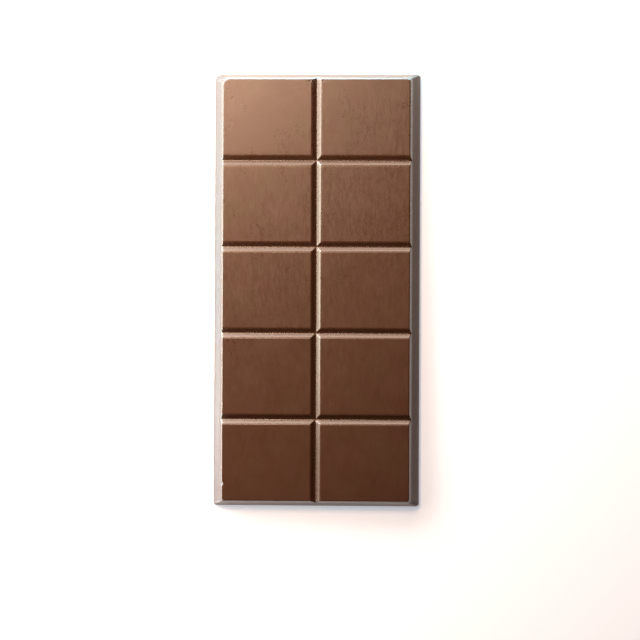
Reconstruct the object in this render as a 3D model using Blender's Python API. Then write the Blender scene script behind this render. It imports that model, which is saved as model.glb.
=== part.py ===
"""A moulded chocolate bar: ten flat blocks in two columns and five rows, on a bevelled slab.

The bar lies on its poured back, with the blocks up. X runs across it, Y along it and Z up,
and the origin is at the middle of the back. V grooves part the blocks, and their bottoms
lie level with the top of the slab, so they run out where its wide bevelled rim starts.
"""

import math

import bmesh
import bpy

# Driving dimensions, in metres
BAR_WIDTH = 0.0770
BAR_LENGTH = 0.1615
BAR_HEIGHT = 0.0067
COLUMNS = 2
ROWS = 5
GROOVE_WIDTH = 0.0036
GROOVE_DEPTH = 0.0013
SIDE_MARGIN = 0.00345  # from a block's top out to the long side of the bar
END_MARGIN = 0.0020  # from a block's top out to the end of the bar
WALL_RUN = 0.0006  # how far a block's outer wall leans out on its way down
FOOT_HEIGHT = 0.0020  # the upright band under the rim's bevel
CORNER_RADIUS = 0.0010  # the bar's four corners, seen from above
EDGE_SETBACK = 0.00025  # how far the rounding reaches from a block's sharp edge
FOOT_SETBACK = 0.00015
CORNER_STEPS = 5
EDGE_STEPS = 4
FOOT_STEPS = 2

SLAB_HEIGHT = BAR_HEIGHT - GROOVE_DEPTH
SHARP_ANGLE = math.radians(30)
NEAR = 1e-6

CHOCOLATE_COLOUR = (0.098, 0.036, 0.018, 1.0)
CHOCOLATE_ROUGHNESS = 0.38


def clear_scene():
    for obj in list(bpy.data.objects):
        bpy.data.objects.remove(obj)


def block_spans(length, margin, count):
    """The (low, high) ends of each block's top along one axis of the bar."""
    top = (length - 2 * margin - (count - 1) * GROOVE_WIDTH) / count
    lows = [margin - length / 2 + i * (top + GROOVE_WIDTH) for i in range(count)]
    return [(low, low + top) for low in lows]


def cell_lines(spans):
    """Where the blocks' feet meet along one axis: the outer walls' feet and the groove bottoms."""
    bottoms = [(left[1] + right[0]) / 2 for left, right in zip(spans, spans[1:])]
    return [spans[0][0] - WALL_RUN, *bottoms, spans[-1][1] + WALL_RUN]


COLUMN_SPANS = block_spans(BAR_WIDTH, SIDE_MARGIN, COLUMNS)
ROW_SPANS = block_spans(BAR_LENGTH, END_MARGIN, ROWS)
COLUMN_LINES = cell_lines(COLUMN_SPANS)
ROW_LINES = cell_lines(ROW_SPANS)


def add_cells(mesh):
    """One face for each block's foot, all level with the top of the slab."""
    bmesh.ops.create_grid(mesh, x_segments=COLUMNS, y_segments=ROWS, size=0.5)
    for vertex in mesh.verts:
        column = round((vertex.co.x + 0.5) * COLUMNS)
        row = round((vertex.co.y + 0.5) * ROWS)
        vertex.co = (COLUMN_LINES[column], ROW_LINES[row], SLAB_HEIGHT)
    return list(mesh.faces)


def span_at(spans, place):
    return min(spans, key=lambda span: abs((span[0] + span[1]) / 2 - place))


def raise_blocks(mesh, cells):
    """Raises each cell to a block with sloping walls."""
    bmesh.ops.inset_individual(mesh, faces=cells, thickness=GROOVE_WIDTH / 2)
    for top in cells:
        middle = top.calc_center_median()
        across = span_at(COLUMN_SPANS, middle.x)
        along = span_at(ROW_SPANS, middle.y)
        for vertex in top.verts:
            vertex.co = (
                across[vertex.co.x > middle.x],
                along[vertex.co.y > middle.y],
                BAR_HEIGHT,
            )


def lead_out(mesh, height):
    """Extrudes the open outline to the bar's full width and length, at this height."""
    outline = [edge for edge in mesh.edges if edge.is_boundary]
    made = bmesh.ops.extrude_edge_only(mesh, edges=outline)["geom"]
    verts = [item for item in made if isinstance(item, bmesh.types.BMVert)]
    widen = BAR_WIDTH / 2 / max(vertex.co.x for vertex in verts)
    lengthen = BAR_LENGTH / 2 / max(vertex.co.y for vertex in verts)
    bmesh.ops.scale(mesh, vec=(widen, lengthen, 1), verts=verts)
    for vertex in verts:
        vertex.co.z = height


def add_back(mesh):
    """Takes the rim's outline straight down to the back and closes it."""
    lead_out(mesh, 0)
    outline = [edge for edge in mesh.edges if edge.is_boundary]
    bmesh.ops.contextual_create(mesh, geom=outline)


def soften(mesh, edges, setback, steps):
    bmesh.ops.bevel(
        mesh,
        geom=edges,
        offset=setback,
        offset_type="OFFSET",
        affect="EDGES",
        segments=steps,
        profile=0.5,
        clamp_overlap=True,
        material=-1,
    )


def corner_edges(mesh):
    """The edges that run down the bar's four corners, from the blocks' tops to the foot."""

    def is_corner(vertex):
        return (
            abs(vertex.co.x) > COLUMN_SPANS[-1][1] - NEAR
            and abs(vertex.co.y) > ROW_SPANS[-1][1] - NEAR
        )

    return [edge for edge in mesh.edges if all(map(is_corner, edge.verts))]


def block_edges(mesh):
    """The rims of the blocks' tops, and the mitres between two walls of a block."""

    def on_top(vertex):
        return vertex.co.z > BAR_HEIGHT - NEAR

    def is_mitre(edge):
        top, foot = sorted(edge.verts, key=lambda vertex: -vertex.co.z)
        slant = top.co - foot.co
        leans_both_ways = min(abs(slant.x), abs(slant.y)) > NEAR
        at_corner = abs(foot.co.x) > COLUMN_LINES[-1] - CORNER_RADIUS * 2 and (
            abs(foot.co.y) > ROW_LINES[-1] - CORNER_RADIUS * 2
        )
        return on_top(top) and leans_both_ways and not at_corner

    def is_rim(edge):
        up = [face.normal.z > 1 - NEAR for face in edge.link_faces]
        return all(map(on_top, edge.verts)) and not all(up)

    return [edge for edge in mesh.edges if is_rim(edge) or is_mitre(edge)]


def foot_edges(mesh):
    """The outline of the poured back."""
    return [
        edge
        for edge in mesh.edges
        if all(abs(vertex.co.z) < NEAR for vertex in edge.verts)
    ]


def chocolate():
    material = bpy.data.materials.new("chocolate")
    material.use_nodes = True
    shader = material.node_tree.nodes["Principled BSDF"]
    shader.inputs["Base Color"].default_value = CHOCOLATE_COLOUR
    shader.inputs["Roughness"].default_value = CHOCOLATE_ROUGHNESS
    shader.inputs["Metallic"].default_value = 0.0
    material.diffuse_color = CHOCOLATE_COLOUR
    return material


def make_bar():
    mesh = bmesh.new()
    cells = add_cells(mesh)
    raise_blocks(mesh, cells)
    lead_out(mesh, FOOT_HEIGHT)
    soften(mesh, corner_edges(mesh), CORNER_RADIUS, CORNER_STEPS)
    add_back(mesh)
    bmesh.ops.recalc_face_normals(mesh, faces=mesh.faces)
    mesh.normal_update()
    soften(mesh, block_edges(mesh), EDGE_SETBACK, EDGE_STEPS)
    soften(mesh, foot_edges(mesh), FOOT_SETBACK, FOOT_STEPS)
    bmesh.ops.recalc_face_normals(mesh, faces=mesh.faces)

    data = bpy.data.meshes.new("bar")
    mesh.to_mesh(data)
    mesh.free()
    data.shade_smooth()
    data.set_sharp_from_angle(angle=SHARP_ANGLE)
    data.materials.append(chocolate())
    bar = bpy.data.objects.new("bar", data)
    bpy.context.scene.collection.objects.link(bar)


clear_scene()
make_bar()
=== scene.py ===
"""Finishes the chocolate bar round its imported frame, and sets it in a small studio.

The bar is moulded as one piece: ten flat blocks on a bevelled slab, with broken-in edges,
a few blemishes and a poured back. Lengths are in metres, +Z is up, and the bar lies on z = 0.
"""

import math
from typing import NamedTuple

import bmesh
import bpy
from mathutils import Matrix, Vector, noise


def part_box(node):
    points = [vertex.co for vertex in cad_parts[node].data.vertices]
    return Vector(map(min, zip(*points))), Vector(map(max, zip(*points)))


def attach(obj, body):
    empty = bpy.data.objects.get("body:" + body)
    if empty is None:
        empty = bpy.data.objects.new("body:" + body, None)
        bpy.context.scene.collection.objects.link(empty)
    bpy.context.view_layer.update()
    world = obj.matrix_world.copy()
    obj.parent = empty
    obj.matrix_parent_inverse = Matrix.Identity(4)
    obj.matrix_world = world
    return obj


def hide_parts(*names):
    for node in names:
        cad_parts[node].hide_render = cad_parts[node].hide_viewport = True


bl_info = {
    "name": "Chocolate bar",
    "version": (1, 0, 0),
    "blender": (4, 5, 0),
    "location": "3D View > Sidebar > Chocolate",
    "description": "Moulds a ten-block chocolate bar, gives it a satin finish and lights it",
    "category": "Add Mesh",
}

MM = 0.001

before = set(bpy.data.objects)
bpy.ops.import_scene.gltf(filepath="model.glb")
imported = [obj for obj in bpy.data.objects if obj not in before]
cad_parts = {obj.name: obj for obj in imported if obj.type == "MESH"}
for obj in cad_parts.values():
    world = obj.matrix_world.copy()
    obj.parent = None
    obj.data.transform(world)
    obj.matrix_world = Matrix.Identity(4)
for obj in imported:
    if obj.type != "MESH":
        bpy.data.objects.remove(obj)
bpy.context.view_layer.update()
LOW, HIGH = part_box("bar")


# Settings --------------------------------------------------------------------------------


def length(name, description, default):
    """A size in metres."""
    return bpy.props.FloatProperty(
        name=name,
        description=description,
        default=default,
        min=0.0,
        precision=5,
        subtype="DISTANCE",
        unit="LENGTH",
    )


def colour(name, description, default):
    return bpy.props.FloatVectorProperty(
        name=name,
        description=description,
        default=default,
        min=0.0,
        soft_max=1.0,
        subtype="COLOR",
    )


def number(name, description, default):
    return bpy.props.FloatProperty(name=name, description=description, default=default)


def angle(name, description, default):
    """A turn, with its default given in degrees."""
    return bpy.props.FloatProperty(
        name=name,
        description=description,
        default=math.radians(default),
        subtype="ANGLE",
        unit="ROTATION",
    )


class BarSizes(bpy.types.PropertyGroup):
    """The bar's own sizes. Its width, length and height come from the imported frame."""

    columns: bpy.props.IntProperty(name="Columns", description="Blocks across", default=2)
    rows: bpy.props.IntProperty(name="Rows", description="Blocks along", default=5)
    groove_width: length("Groove width", "Across a groove at the top", 3.6 * MM)
    groove_depth: length("Groove depth", "From a block's top down to the slab", 1.3 * MM)
    side_margin: length("Side margin", "From a block's top to the bar's side", 3.45 * MM)
    end_margin: length("End margin", "From a block's top to the bar's end", 2.0 * MM)
    wall_run: length("Wall run", "How far a block's outer wall leans out", 0.6 * MM)
    foot_height: length("Foot height", "The upright band under the bevel", 2.0 * MM)
    corner_radius: length("Corner radius", "The bar's corners from above", 1.0 * MM)
    worn_radius: length("Worn corner radius", "The one corner that's worn", 2.2 * MM)
    edge_setback: length("Edge setback", "Rounding of a block's edges", 0.34 * MM)
    groove_setback: length("Groove setback", "Rounding of a groove's bottom", 0.35 * MM)
    rim_setback: length("Rim setback", "Rounding under the rim's bevel", 0.30 * MM)
    foot_setback: length("Foot setback", "Rounding of the bar's lower edge", 0.15 * MM)
    skin_grid: length("Skin grid", "Spacing of the mesh over flat places", 0.8 * MM)
    swell: length("Swell", "How uneven the moulded skin is", 0.012 * MM)
    back_swell: length("Back swell", "How uneven the poured back is", 0.10 * MM)


class ChocolateLook(bpy.types.PropertyGroup):
    """The chocolate's colour and finish."""

    colour: colour("Colour", "The chocolate itself", (0.060, 0.0236, 0.0090))
    second_colour: colour("Second colour", "Of the redder patches", (0.062, 0.0210, 0.0096))
    roughness: number("Roughness", "Of the moulded skin", 0.32)
    gloss: number("Gloss", "How strongly the skin reflects, 0.5 being usual", 0.75)
    wall_shine: number("Wall shine", "How much of a glossier skin the walls have", 0.70)
    wall_ior: number("Wall refraction", "Of that glossier skin", 1.55)
    wall_roughness: number("Wall roughness", "Of that glossier skin", 0.27)
    mottle: number("Mottle", "How much lighter and darker the skin goes", 0.10)
    relief: number("Relief", "Strength of the streaks, specks and pits", 0.50)


class StudioSettings(bpy.types.PropertyGroup):
    """The floor, the lights and the camera."""

    floor_colour: colour("Floor", "The pale floor", (0.86, 0.86, 0.86))
    floor_glow: number("Floor glow", "Light the floor gives off itself", 0.46)
    floor_glow_colour: colour("Glow colour", "Of the floor's own light", (0.86, 0.90, 1.0))
    camera_distance: length("Camera distance", "From the bar to the camera", 1.6)
    view_width: length("View width", "Width of floor in view", 0.2398)
    camera_lean: angle("Camera lean", "How far the camera stands off to the right", 4.0)
    camera_roll: angle("Camera roll", "Turn of the camera about its own line", 0.25)


# Shapes ----------------------------------------------------------------------------------


class Dent(NamedTuple):
    """A worn or pitted place: how far it reaches, how deep it goes, how ragged its edge is,
    and how long the mesh's edges may be there."""

    x: float
    y: float
    reach: float
    depth: float
    rough: float
    grain: float


DENTS = (
    Dent(-35.6 * MM, 79.4 * MM, 1.5 * MM, 0.40 * MM, 0.4, 0.12 * MM),  # a slumped corner
    Dent(-35.0 * MM, -72.5 * MM, 0.75 * MM, 0.35 * MM, 0.6, 0.09 * MM),  # a chipped edge
    Dent(-31.3 * MM, 71.8 * MM, 0.36 * MM, 0.07 * MM, 0.3, 0.07 * MM),  # air holes
    Dent(-23.4 * MM, 70.8 * MM, 0.36 * MM, 0.08 * MM, 0.3, 0.07 * MM),
    Dent(-2.3 * MM, 78.1 * MM, 0.50 * MM, 0.22 * MM, 0.3, 0.08 * MM),  # nicked corners
    Dent(2.3 * MM, 78.1 * MM, 0.50 * MM, 0.22 * MM, 0.3, 0.08 * MM),
)


def block_spans(low, high, margin, count, groove):
    """The (low, high) ends of each block's top along one axis of the bar."""
    top = (high - low - 2 * margin - (count - 1) * groove) / count
    starts = [low + margin + i * (top + groove) for i in range(count)]
    return [(start, start + top) for start in starts]


def cell_lines(spans, wall_run):
    """Where the blocks' feet meet along one axis, from outer wall to outer wall."""
    bottoms = [(left[1] + right[0]) / 2 for left, right in zip(spans, spans[1:])]
    return [spans[0][0] - wall_run, *bottoms, spans[-1][1] + wall_run]


def span_at(spans, place):
    """The span whose middle is nearest to this place."""
    return min(spans, key=lambda span: abs((span[0] + span[1]) / 2 - place))


def soften(mesh, edges, setback, steps):
    """Rounds the edges, starting this far back from each of them."""
    return bmesh.ops.bevel(
        mesh,
        geom=edges,
        offset=setback,
        offset_type="OFFSET",
        affect="EDGES",
        segments=steps,
        profile=0.5,
        clamp_overlap=True,
        material=-1,
    )


class BarMould:
    """Builds the bar's mesh, step by step."""

    EDGE_STEPS = 8
    CORNER_STEPS = 8
    GROOVE_STEPS = 4
    FOOT_STEPS = 3
    NEAR = 1e-6
    RAGS_PER_REACH = 2.2
    LONG_WAVE = 9.0 * MM
    SHORT_WAVE = 3.5 * MM
    SHORT_WAVE_SHARE = 0.4
    HIGHEST_WAVE = 1.4
    FLOW_ACROSS = 14 * MM
    FLOW_ALONG = 26 * MM
    FLOW_SEED = 3.0
    HIGHEST_FLOW = 0.1

    def __init__(self, sizes):
        self.sizes = sizes
        self.mesh = bmesh.new()
        self.across = block_spans(
            LOW.x, HIGH.x, sizes.side_margin, sizes.columns, sizes.groove_width
        )
        self.along = block_spans(
            LOW.y, HIGH.y, sizes.end_margin, sizes.rows, sizes.groove_width
        )
        self.slab_top = HIGH.z - sizes.groove_depth

    def lay_cells(self):
        """One face for each block's foot, all level with the top of the slab."""
        sizes = self.sizes
        bmesh.ops.create_grid(
            self.mesh, x_segments=sizes.columns, y_segments=sizes.rows, size=0.5
        )
        columns = cell_lines(self.across, sizes.wall_run)
        rows = cell_lines(self.along, sizes.wall_run)
        for vertex in self.mesh.verts:
            column = round((vertex.co.x + 0.5) * sizes.columns)
            row = round((vertex.co.y + 0.5) * sizes.rows)
            vertex.co = (columns[column], rows[row], self.slab_top)

    def raise_blocks(self):
        """Draws each block's top up out of its foot, half a groove in from every side."""
        cells = list(self.mesh.faces)
        bmesh.ops.inset_individual(
            self.mesh, faces=cells, thickness=self.sizes.groove_width / 2
        )
        for top in cells:
            middle = top.calc_center_median()
            across = span_at(self.across, middle.x)
            along = span_at(self.along, middle.y)
            for vertex in top.verts:
                vertex.co = (
                    across[vertex.co.x > middle.x],
                    along[vertex.co.y > middle.y],
                    HIGH.z,
                )

    def lead_out(self, height):
        """Extrudes the open outline to the bar's full width and length, at this height."""
        outline = [edge for edge in self.mesh.edges if edge.is_boundary]
        made = bmesh.ops.extrude_edge_only(self.mesh, edges=outline)["geom"]
        verts = [item for item in made if isinstance(item, bmesh.types.BMVert)]
        widen = HIGH.x / max(vertex.co.x for vertex in verts)
        lengthen = HIGH.y / max(vertex.co.y for vertex in verts)
        bmesh.ops.scale(self.mesh, vec=(widen, lengthen, 1), verts=verts)
        for vertex in verts:
            vertex.co.z = height

    def close_back(self):
        """Drops the foot to the table and closes the bar below."""
        self.lead_out(LOW.z)
        outline = [edge for edge in self.mesh.edges if edge.is_boundary]
        bmesh.ops.contextual_create(self.mesh, geom=outline)
        bmesh.ops.recalc_face_normals(self.mesh, faces=self.mesh.faces)
        self.mesh.normal_update()

    def at_corner(self, vertex, reach=0.0):
        """Whether it's outside the corner of a corner block's top, or within reach of that."""
        return (
            abs(vertex.co.x) > self.across[-1][1] - self.NEAR - reach
            and abs(vertex.co.y) > self.along[-1][1] - self.NEAR - reach
        )

    def corner_edges(self, worn):
        """The edges down the one worn corner, or down the other three."""

        def chosen(vertex):
            return self.at_corner(vertex) and worn == (vertex.co.x < 0 < vertex.co.y)

        return [edge for edge in self.mesh.edges if all(map(chosen, edge.verts))]

    def on_top(self, vertex):
        return vertex.co.z > HIGH.z - self.NEAR

    def block_edges(self):
        """The rims of the blocks' tops, and the mitres between two walls of a block."""

        def is_mitre(edge):
            top, foot = sorted(edge.verts, key=lambda vertex: -vertex.co.z)
            slant = top.co - foot.co
            leans_both_ways = min(abs(slant.x), abs(slant.y)) > self.NEAR
            rounded = self.at_corner(foot, self.sizes.worn_radius)
            return self.on_top(top) and leans_both_ways and not rounded

        def is_rim(edge):
            up = [face.normal.z > 1 - self.NEAR for face in edge.link_faces]
            return all(map(self.on_top, edge.verts)) and not all(up)

        return [edge for edge in self.mesh.edges if is_rim(edge) or is_mitre(edge)]

    def edges_at(self, height):
        """The edges that lie level at this height."""

        def level(vertex):
            return abs(vertex.co.z - height) < self.NEAR

        return [edge for edge in self.mesh.edges if all(map(level, edge.verts))]

    def groove_bottoms(self):
        """The hollow edges at the bottom of the grooves and round the blocks' feet."""

        def hollow(edge):
            return len(edge.link_faces) == 2 and not edge.is_convex

        return [edge for edge in self.edges_at(self.slab_top) if hollow(edge)]

    def cut_skin(self):
        """Cuts the skin into a grid fine enough to carry its unevenness."""
        grid = self.sizes.skin_grid
        for axis in (0, 1):
            normal = Vector((axis == 0, axis == 1, 0))
            steps = round((HIGH[axis] - LOW[axis]) / grid)
            pitch = (HIGH[axis] - LOW[axis]) / steps
            for i in range(1, steps):
                geometry = [*self.mesh.verts, *self.mesh.edges, *self.mesh.faces]
                bmesh.ops.bisect_plane(
                    self.mesh,
                    geom=geometry,
                    dist=grid / 50,
                    plane_co=normal * (LOW[axis] + i * pitch),
                    plane_no=normal,
                )

    def refine(self, dent):
        """Splits the top skin round a dent until it's fine enough to carry it, then cuts the
        many-sided faces left there into triangles, before the dent bends them."""
        middle = Vector((dent.x, dent.y))

        def coarse(edge):
            start, end = (vertex.co for vertex in edge.verts)
            close = (start.xy - middle).length < dent.reach
            close = close or (end.xy - middle).length < dent.reach
            high = max(start.z, end.z) > self.slab_top
            return close and high and edge.calc_length() > dent.grain

        edges = [edge for edge in self.mesh.edges if coarse(edge)]
        while edges:
            made = bmesh.ops.subdivide_edges(
                self.mesh, edges=edges, cuts=1, use_grid_fill=True
            )["geom"]
            split = dict.fromkeys(item for item in made if isinstance(item, bmesh.types.BMEdge))
            edges = [edge for edge in split if coarse(edge)]
        many_sided = [face for face in self.mesh.faces if len(face.verts) > 4]
        bmesh.ops.triangulate(
            self.mesh, faces=many_sided, quad_method="BEAUTY", ngon_method="BEAUTY"
        )

    def press(self, dent):
        """Sinks the top skin into the dent, unevenly, and leaves the foot of a wall alone."""
        middle = Vector((dent.x, dent.y))
        seed = middle.to_3d() / MM
        for vertex in self.mesh.verts:
            rags = noise.noise(vertex.co / dent.reach * self.RAGS_PER_REACH + seed)
            reach = dent.reach * (1 + dent.rough * rags)
            fall = 1 - ((vertex.co.xy - middle).length / reach) ** 2
            lift = (vertex.co.z - self.slab_top) / (HIGH.z - self.slab_top)
            if fall > 0 and lift > 0:
                vertex.co.z -= dent.depth * fall * fall * lift

    def unsettle(self):
        """Gives the moulded skin a slight swell and the poured back a stronger one. Both only
        ever go inwards, so the bar keeps within its box."""
        sizes = self.sizes
        self.mesh.normal_update()
        moves = []
        for vertex in self.mesh.verts:
            place = vertex.co
            wave = noise.noise(place / self.LONG_WAVE)
            wave += self.SHORT_WAVE_SHARE * noise.noise(place / self.SHORT_WAVE)
            depth = sizes.swell * (wave - self.HIGHEST_WAVE)
            if vertex.normal.z < -0.9:
                x, y = place.x / self.FLOW_ACROSS, place.y / self.FLOW_ALONG
                flow = noise.noise(Vector((x, y, self.FLOW_SEED)))
                depth += sizes.back_swell * min(0.0, flow - self.HIGHEST_FLOW)
            moves.append(vertex.normal * depth)
        for vertex, move in zip(self.mesh.verts, moves):
            vertex.co += move

    def pour(self):
        """Makes the whole bar. The corners are rounded before the edges that run round them."""
        sizes = self.sizes
        self.lay_cells()
        self.raise_blocks()
        self.lead_out(sizes.foot_height)
        soften(self.mesh, self.corner_edges(False), sizes.corner_radius, self.CORNER_STEPS)
        soften(self.mesh, self.corner_edges(True), sizes.worn_radius, self.CORNER_STEPS)
        self.close_back()
        soften(self.mesh, self.block_edges(), sizes.edge_setback, self.EDGE_STEPS)
        soften(self.mesh, self.groove_bottoms(), sizes.groove_setback, self.GROOVE_STEPS)
        rim = self.edges_at(sizes.foot_height)
        soften(self.mesh, rim, sizes.rim_setback, self.FOOT_STEPS)
        soften(self.mesh, self.edges_at(LOW.z), sizes.foot_setback, self.FOOT_STEPS)
        self.cut_skin()
        for dent in DENTS:
            self.refine(dent)
            self.press(dent)
        self.unsettle()
        bmesh.ops.recalc_face_normals(self.mesh, faces=self.mesh.faces)
        return self.mesh


def piece_from(mesh, name):
    """Turns a finished mesh into an object at the origin."""
    data = bpy.data.meshes.new(name)
    mesh.to_mesh(data)
    mesh.free()
    data.shade_smooth()
    piece = bpy.data.objects.new(name, data)
    bpy.context.scene.collection.objects.link(piece)
    return piece


# Materials -------------------------------------------------------------------------------


class Socket:
    """An output socket that takes part in arithmetic, each step adding a Math node."""

    def __init__(self, shader, output):
        self.shader = shader
        self.output = output

    def math(self, operation, *values, first=None):
        """The operation on this socket, or on the first value given, and the other values."""
        values = (self if first is None else first, *values)
        return self.shader.node(
            "ShaderNodeMath", {"operation": operation}, dict(enumerate(values))
        )

    def __add__(self, other):
        return self.math("ADD", other)

    __radd__ = __add__

    def __mul__(self, other):
        return self.math("MULTIPLY", other)

    __rmul__ = __mul__

    def __sub__(self, other):
        return self.math("SUBTRACT", other)

    def __rsub__(self, other):
        return self.math("SUBTRACT", self, first=other)

    def __abs__(self):
        return self.math("ABSOLUTE")


class Shader:
    """A material's node tree, with one method that adds any node."""

    def __init__(self, name):
        self.material = bpy.data.materials.new(name)
        self.material.use_nodes = True
        self.tree = self.material.node_tree
        self.surface = self.tree.nodes["Principled BSDF"]

    def set(self, node, inputs):
        """Sets or links each of the node's inputs."""
        for key, value in inputs.items():
            if isinstance(value, Socket):
                self.tree.links.new(value.output, node.inputs[key])
            else:
                node.inputs[key].default_value = value

    def node(self, kind, settings=None, inputs=None, output=0):
        """Adds a node, with its settings first and then its inputs, and gives its output."""
        made = self.tree.nodes.new(kind)
        for key, value in (settings or {}).items():
            setattr(made, key, value)
        self.set(made, inputs or {})
        return Socket(self, made.outputs[output])


def chocolate(look, sizes):
    """Satin moulded chocolate: two close browns, drawn-out streaks, specks and tiny pits, with
    painted shade in the pits and half-way down each wall, and painted sheen in the marks' colour
    at the far left.
    """
    shader = Shader("chocolate")
    place = shader.node("ShaderNodeTexCoord", output="Object")

    def scaled(size, stretch=1.0):
        """The place on the bar, in steps of this size, drawn out along the bar."""
        return shader.node(
            "ShaderNodeMapping",
            inputs={"Vector": place, "Scale": (1 / size, 1 / size / stretch, 1 / size)},
        )

    def pattern(size, stretch=1.0, detail=2.0):
        """Noise with features of this size, level round nought."""
        inputs = {"Vector": scaled(size, stretch), "Scale": 1.0, "Detail": detail}
        return shader.node("ShaderNodeTexNoise", inputs=inputs) - 0.5

    def ramp(value, low, high):
        """Nought below the low end, one above the high end, smooth between."""
        inputs = {"Value": value, "From Min": low, "From Max": high}
        settings = {"interpolation_type": "SMOOTHSTEP"}
        return shader.node("ShaderNodeMapRange", settings, inputs)

    across, along, height = (
        shader.node("ShaderNodeSeparateXYZ", inputs={0: place}, output=axis) for axis in "XYZ"
    )
    # Where the blocks and their walls are, a painted shade line half-way down each wall, and how
    # strongly the skin is marked, which is most at the far left, where the sheen lamp is
    # mirrored.
    slab_top = HIGH.z - sizes.groove_depth
    block = ramp(height, slab_top - 0.40 * MM, slab_top - 0.05 * MM)
    wall = block * ramp(height, HIGH.z - 0.05 * MM, HIGH.z - 0.30 * MM)
    # Painted shade: a darker line half-way down each wall, between the walls' two highlight
    # lines.
    mid_wall_shade_line = ramp(abs(height - (HIGH.z + slab_top) / 2), 0.20 * MM, 0.08 * MM)
    # Strongest at the far left, where the sheen lamp is mirrored. The marks' stronger colour
    # contrast there is partly painted sheen.
    worn = ramp(along - 0.5 * across, -40 * MM, 90 * MM)

    # The patterns, from the broadest to the finest.
    broad = pattern(11 * MM, detail=3.0)
    patches = pattern(7 * MM, stretch=1.6, detail=1.0)
    streaks = pattern(0.9 * MM, stretch=3.5) * (0.5 + 0.9 * worn) * (0.3 + 0.7 * block)
    specks = pattern(0.45 * MM, stretch=1.4, detail=1.0) * (0.3 + 1.6 * worn) * block
    spots = shader.node(
        "ShaderNodeTexVoronoi", {"feature": "F1"}, {"Vector": scaled(2.4 * MM), "Scale": 1.0}
    )
    # Tiny pits, dented by the bump. The colour is also darkened in them, which is painted shade.
    pits = ramp(spots, 0.13, 0.07) * ramp(patches, -0.02, 0.14) * worn * worn

    hue = ramp(patches, -0.2, 0.2)
    brown = shader.node(
        "ShaderNodeMix",
        {"data_type": "RGBA"},
        {"Factor": hue, "A": (*look.colour, 1.0), "B": (*look.second_colour, 1.0)},
        output="Result",
    )
    # Lighter and darker at random, less the painted shade in the pits and along the line half-way
    # down each wall.
    light = 1.0 + 2 * look.mottle * (broad + streaks + specks) - 0.10 * pits - 0.3 * mid_wall_shade_line
    base = shader.node("ShaderNodeVectorMath", {"operation": "SCALE"}, {0: brown, "Scale": light})

    relief = 0.6 * (streaks + specks) - 0.2 * pits
    bump = shader.node(
        "ShaderNodeBump",
        inputs={"Height": relief, "Strength": look.relief, "Distance": 0.03 * MM},
    )
    matt = (0.24 * streaks + 0.20 * specks).math("MAXIMUM", -0.04)
    uneven = 0.09 * broad + matt - 0.06 * wall + 0.12 * mid_wall_shade_line
    shader.set(
        shader.surface,
        {
            "Base Color": base,
            "Roughness": look.roughness + uneven,
            "Coat Weight": look.wall_shine * wall,
            "Coat IOR": look.wall_ior,
            "Coat Roughness": look.wall_roughness,
            "Normal": bump,
            "Specular IOR Level": look.gloss,
        },
    )
    return shader.material


def plain(name, shade, roughness):
    """A material of one shade, and its surface node."""
    shader = Shader(name)
    shader.set(shader.surface, {"Base Color": (*shade, 1.0), "Roughness": roughness})
    return shader.material, shader.surface


# Operators -------------------------------------------------------------------------------


class CHOCOLATE_OT_bar(bpy.types.Operator):
    """Moulds the bar and gives it its chocolate"""

    bl_idname = "chocolate.bar"
    bl_label = "Mould the bar"

    def execute(self, context):
        scene = context.scene
        mesh = BarMould(scene.bar_sizes).pour()
        bar = piece_from(mesh, "moulded_bar")
        bar.data.materials.append(chocolate(scene.chocolate_look, scene.bar_sizes))
        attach(bar, "root")
        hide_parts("bar")
        return {"FINISHED"}


def add_floor(studio):
    """A pale table that glows a little from below, which keeps the shadows light."""
    mesh = bmesh.new()
    bmesh.ops.create_grid(mesh, x_segments=1, y_segments=1, size=3.0)
    floor = piece_from(mesh, "floor")
    material, surface = plain("pale_floor", studio.floor_colour, 0.6)
    surface.inputs["Emission Color"].default_value = (*studio.floor_glow_colour, 1.0)
    surface.inputs["Emission Strength"].default_value = studio.floor_glow
    floor.data.materials.append(material)


class Softbox(NamedTuple):
    """A rectangular lamp that faces its target. Its power is in watts."""

    name: str
    place: tuple
    target: tuple
    width: float
    height: float
    power: float
    tint: tuple

    def hang(self):
        data = bpy.data.lights.new(self.name, "AREA")
        data.shape = "RECTANGLE"
        data.size = self.width
        data.size_y = self.height
        data.energy = self.power
        data.color = self.tint
        lamp = bpy.data.objects.new(self.name, data)
        facing = (Vector(self.target) - Vector(self.place)).to_track_quat("-Z", "Y")
        lamp.matrix_world = Matrix.Translation(self.place) @ facing.to_matrix().to_4x4()
        lamp.visible_camera = False
        bpy.context.scene.collection.objects.link(lamp)


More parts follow.
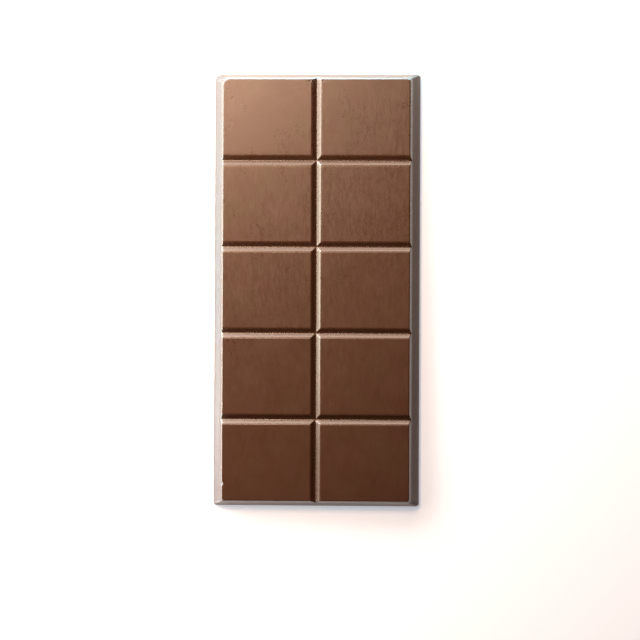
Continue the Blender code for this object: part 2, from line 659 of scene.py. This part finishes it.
BAR = (0.0, 0.0, 0.0)
VIEW_MIDDLE = (1.13 * MM, -11.2 * MM, 0.0)
LIFT = 6 * MM
STRIP = 10 * MM
KEY_TINT = (0.95, 0.93, 1.0)
NEAR_TINT = (1.0, 0.97, 0.79)
AMBER_TINT = (1.0, 0.77, 0.61)
WARM_TINT = (1.0, 0.67, 0.46)
COOL_TINT = (0.46, 0.86, 1.0)
PALE_TINT = (0.74, 0.90, 1.0)
BLUE_TINT = (0.36, 0.80, 1.0)
LAMPS = (
    # Big and low at the left and the back, so that they light the walls of the grooves.
    Softbox("key", (-0.19, 0.20, 0.14), BAR, 0.20, 0.16, 0.76, KEY_TINT),
    Softbox("near_left", (-0.13, 0.06, 0.08), BAR, 0.24, 0.08, 0.39, NEAR_TINT),
    Softbox("left", (-0.22, 0.00, 0.10), BAR, 0.40, 0.14, 0.36, AMBER_TINT),
    Softbox("far_left", (-0.30, 0.16, 0.13), BAR, 0.26, 0.18, 0.34, AMBER_TINT),
    Softbox("back", (-0.02, 0.26, 0.11), BAR, 0.36, 0.16, 0.52, AMBER_TINT),
    Softbox("far_back", (0.0, 0.55, 0.22), BAR, 0.70, 0.22, 0.96, AMBER_TINT),
    # Higher up. The sheen lamp is mirrored in the far left blocks.
    Softbox("front", (0.10, -0.50, 0.50), BAR, 0.12, 0.12, 0.08, WARM_TINT),
    Softbox("sheen", (-0.10, 0.16, 0.40), (-0.02, 0.04, 0.0), 0.12, 0.12, 1.14, WARM_TINT),
    # Thin strips just over the floor, which whiten the rim at the left and at the back.
    Softbox("upper_strip", (-0.14, 0.07, LIFT), (0, 0.07, LIFT), 0.18, STRIP, 0.36, COOL_TINT),
    Softbox("lower_strip", (-0.14, -0.11, LIFT), (0, -0.11, LIFT), 0.18, STRIP, 0.41, PALE_TINT),
    Softbox("back_strip", (0, 0.14, LIFT), (0, 0, LIFT), 0.20, STRIP, 0.46, BLUE_TINT),
)


def darken_air():
    """Leaves all the light to the lamps and the floor."""
    world = bpy.data.worlds.new("studio_air")
    world.use_nodes = True
    world.node_tree.nodes["Background"].inputs["Strength"].default_value = 0.0
    bpy.context.scene.world = world


def add_camera(studio):
    """Stands the camera over the bar, looking down at the middle of the view."""
    data = bpy.data.cameras.new("camera")
    data.sensor_width = 36.0
    data.lens = data.sensor_width * studio.camera_distance / studio.view_width
    data.clip_end = 20.0
    camera = bpy.data.objects.new("camera", data)
    aim = Matrix.Translation(VIEW_MIDDLE)
    lean = Matrix.Rotation(studio.camera_lean, 4, "Y")
    roll = Matrix.Rotation(studio.camera_roll, 4, "Z")
    away = Matrix.Translation((0, 0, studio.camera_distance))
    camera.matrix_world = aim @ lean @ roll @ away
    bpy.context.scene.collection.objects.link(camera)
    bpy.context.scene.camera = camera


class CHOCOLATE_OT_studio(bpy.types.Operator):
    """Lays the pale floor, hangs the lamps and stands the camera over the bar"""

    bl_idname = "chocolate.studio"
    bl_label = "Set up the studio"

    def execute(self, context):
        studio = context.scene.studio_settings
        add_floor(studio)
        darken_air()
        for lamp in LAMPS:
            lamp.hang()
        add_camera(studio)
        context.scene.view_settings.view_transform = "Standard"
        return {"FINISHED"}


class CHOCOLATE_PT_panel(bpy.types.Panel):
    """Lists the steps and the settings"""

    bl_idname = "CHOCOLATE_PT_panel"
    bl_label = "Chocolate bar"
    bl_space_type = "VIEW_3D"
    bl_region_type = "UI"
    bl_category = "Chocolate"

    def draw(self, context):
        layout = self.layout
        for settings in ("bar_sizes", "chocolate_look", "studio_settings"):
            box = layout.box()
            group = getattr(context.scene, settings)
            for name in group.bl_rna.properties.keys():
                if name not in ("rna_type", "name"):
                    box.prop(group, name)
        for step in STEPS:
            layout.operator(step.bl_idname)


STEPS = (CHOCOLATE_OT_bar, CHOCOLATE_OT_studio)
GROUPS = {
    "bar_sizes": BarSizes,
    "chocolate_look": ChocolateLook,
    "studio_settings": StudioSettings,
}


def register():
    for made in (*GROUPS.values(), *STEPS, CHOCOLATE_PT_panel):
        bpy.utils.register_class(made)
    for name, group in GROUPS.items():
        setattr(bpy.types.Scene, name, bpy.props.PointerProperty(type=group))


def unregister():
    for name in GROUPS:
        delattr(bpy.types.Scene, name)
    for made in (CHOCOLATE_PT_panel, *reversed(STEPS), *GROUPS.values()):
        bpy.utils.unregister_class(made)


def main():
    register()
    bpy.ops.chocolate.bar()
    bpy.ops.chocolate.studio()


if __name__ == "__main__":
    main()
